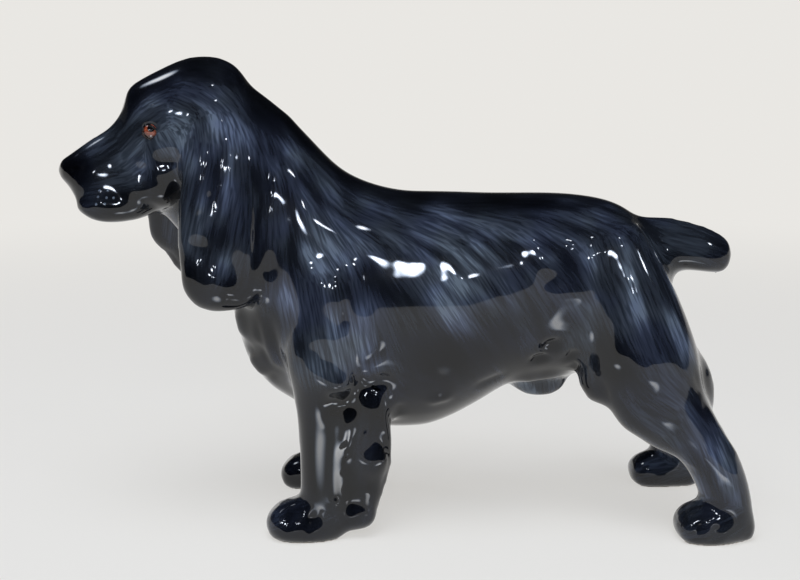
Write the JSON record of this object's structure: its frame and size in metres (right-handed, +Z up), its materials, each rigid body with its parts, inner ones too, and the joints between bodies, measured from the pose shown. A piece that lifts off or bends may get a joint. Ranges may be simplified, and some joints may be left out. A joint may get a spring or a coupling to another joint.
{
  "type": "porcelain dog figurine",
  "caption": "Glossy black porcelain figurine of a standing spaniel with long wavy ears, feathered legs, docked tail and amber eyes, head turned a little to its left.",
  "frame": {"origin": "on the table, under the middle of the figurine's bounding box", "axes": "+Z up, -X the way the dog faces, -Y its left side"},
  "size_m": [0.188, 0.0604, 0.1288],
  "materials": {
    "glaze": "black glaze with blue-grey brushed hair, high gloss",
    "slip": "fired slip, matt",
    "enamel": "amber enamel with a dark pupil, high gloss"
  },
  "bodies": {
    "root": {"trunk": "glaze", "neck_slip": "slip", "head": "glaze", "left_eye": "enamel", "right_eye": "enamel", "left_ear": "glaze", "left_ear_slip": "slip", "right_ear": "glaze", "right_ear_slip": "slip", "left_foreleg": "glaze", "left_foreleg_slip": "slip", "right_foreleg": "glaze", "right_foreleg_slip": "slip", "left_hind_leg": "glaze", "left_hind_leg_slip": "slip", "right_hind_leg": "glaze", "right_hind_leg_slip": "slip", "tail": "glaze", "tail_slip": "slip"}
  },
  "joints": []
}
